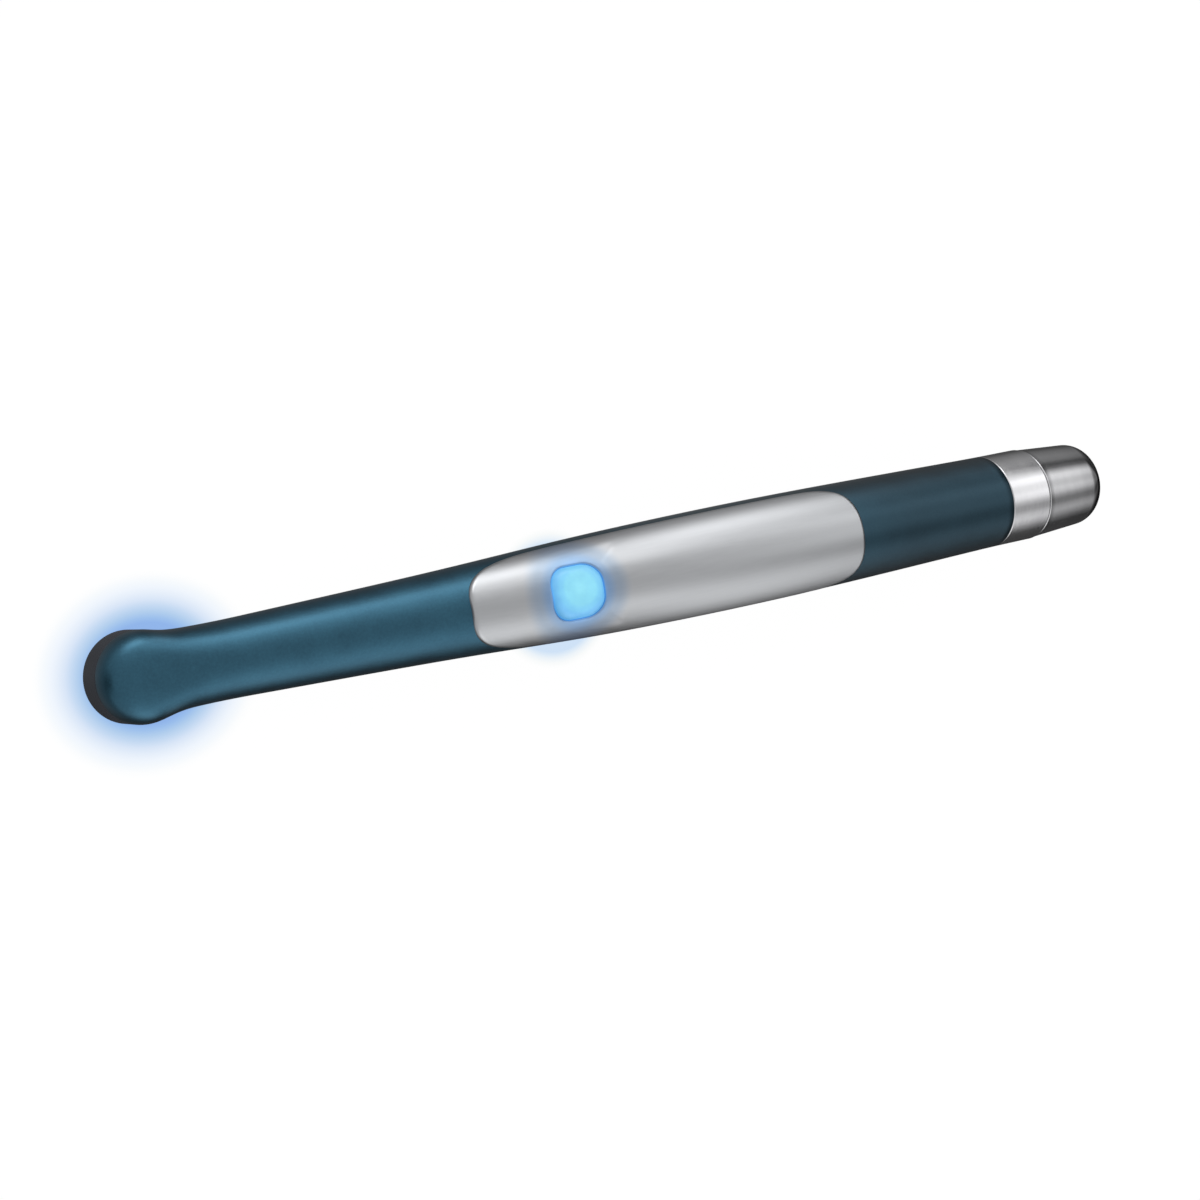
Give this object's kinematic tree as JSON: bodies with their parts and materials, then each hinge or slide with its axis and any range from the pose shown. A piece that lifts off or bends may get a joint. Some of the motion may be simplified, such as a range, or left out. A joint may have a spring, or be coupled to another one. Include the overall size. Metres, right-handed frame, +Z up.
{
  "type": "dental curing light",
  "caption": "Slim metal wand with a round light head facing down, a silver control panel with one lit button, and a screw cap over its battery.",
  "frame": {"origin": "on the surface that the wand lies on, under the centre of its bounding box", "axes": "+X from the lit head to the screw cap, +Y sideways, +Z up towards the control panel; the lens faces -Z"},
  "size_m": [0.235, 0.0214, 0.0231],
  "materials": {
    "anodised_body": "satin teal anodised",
    "panel_silver": "satin silver anodised",
    "trim_steel": "polished, fine turned",
    "bezel_black": "satin moulded",
    "button_blue": "translucent, lit from behind",
    "lens_glass": "polished",
    "reflector_bright": "bright",
    "led_yellow": "phosphor",
    "board_white": "solder mask",
    "board_green": "solder mask",
    "pad_grey": "matte",
    "slug_copper": "machined",
    "wire_jacket": "satin",
    "seal_rubber": "matte",
    "membrane_silicone": "matte translucent",
    "guide_clear": "clear moulded",
    "part_black": "moulded",
    "part_white": "moulded",
    "carrier_black": "moulded",
    "screw_steel": "plated",
    "contact_gold": "plated",
    "contact_steel": "plated",
    "sleeve_natural": "natural",
    "battery_wrap": "shrink wrap"
  },
  "bodies": {
    "wand": {"wand_body": "anodised_body", "head_bezel": "bezel_black", "lens_seal": "seal_rubber", "lens": "lens_glass", "reflector": "reflector_bright", "led_chips": "led_yellow", "led_board": "board_white", "thermal_pad": "pad_grey", "heat_slug": "slug_copper", "led_wires": "wire_jacket", "control_panel": "panel_silver", "panel_gasket": "seal_rubber", "button_membrane": "membrane_silicone", "light_guide": "guide_clear", "button_leds": "led_yellow", "tact_switch": "part_black", "main_board": "board_green", "board_chips": "part_black", "accelerometer": "part_black", "inductor": "part_black", "wire_socket": "part_white", "board_carrier": "carrier_black", "board_screws": "screw_steel", "battery_lead": "contact_gold", "contact_bush": "part_white", "front_contact": "contact_gold", "battery_sleeve": "sleeve_natural", "tail_collar": "trim_steel", "collar_seal": "seal_rubber"},
    "button": {"power_button": "button_blue"},
    "stem": {"switch_stem": "part_white"},
    "cell": {"battery": "battery_wrap", "battery_tip": "contact_steel"},
    "contact": {"contact_plate": "contact_gold", "tail_spring": "contact_steel"},
    "cap": {"end_cap": "trim_steel", "cap_seal": "seal_rubber"}
  },
  "joints": [
    {"name": "button_press", "type": "slide", "parent": "wand", "child": "button", "axis": [0, 0, -1], "range_m": [0, 0.0005], "stiffness_N_per_m": 2500, "springref_m": -0.0002, "deforming": ["button_membrane"]},
    {"name": "stem_press", "type": "slide", "parent": "wand", "child": "stem", "axis": [0, 0, -1], "range_m": [0, 0.0004]},
    {"name": "battery_draw", "type": "slide", "parent": "wand", "child": "cell", "axis": [1, 0, 0], "range_m": [0, 0.05]},
    {"name": "cap_advance", "type": "slide", "parent": "cell", "child": "contact", "axis": [1, 0, 0], "range_m": [0, 0.006]},
    {"name": "cap_turn", "type": "hinge", "parent": "contact", "child": "cap", "pos_m": [0.108, 0, 0.01], "axis": [1, 0, 0], "range_deg": [0, 1080]}
  ],
  "couplings": [
    {"joint": "stem_press", "follows": "button_press", "ratio": 0.8},
    {"joint": "cap_advance", "follows": "cap_turn", "m_per_rad": 0.00031831}
  ]
}
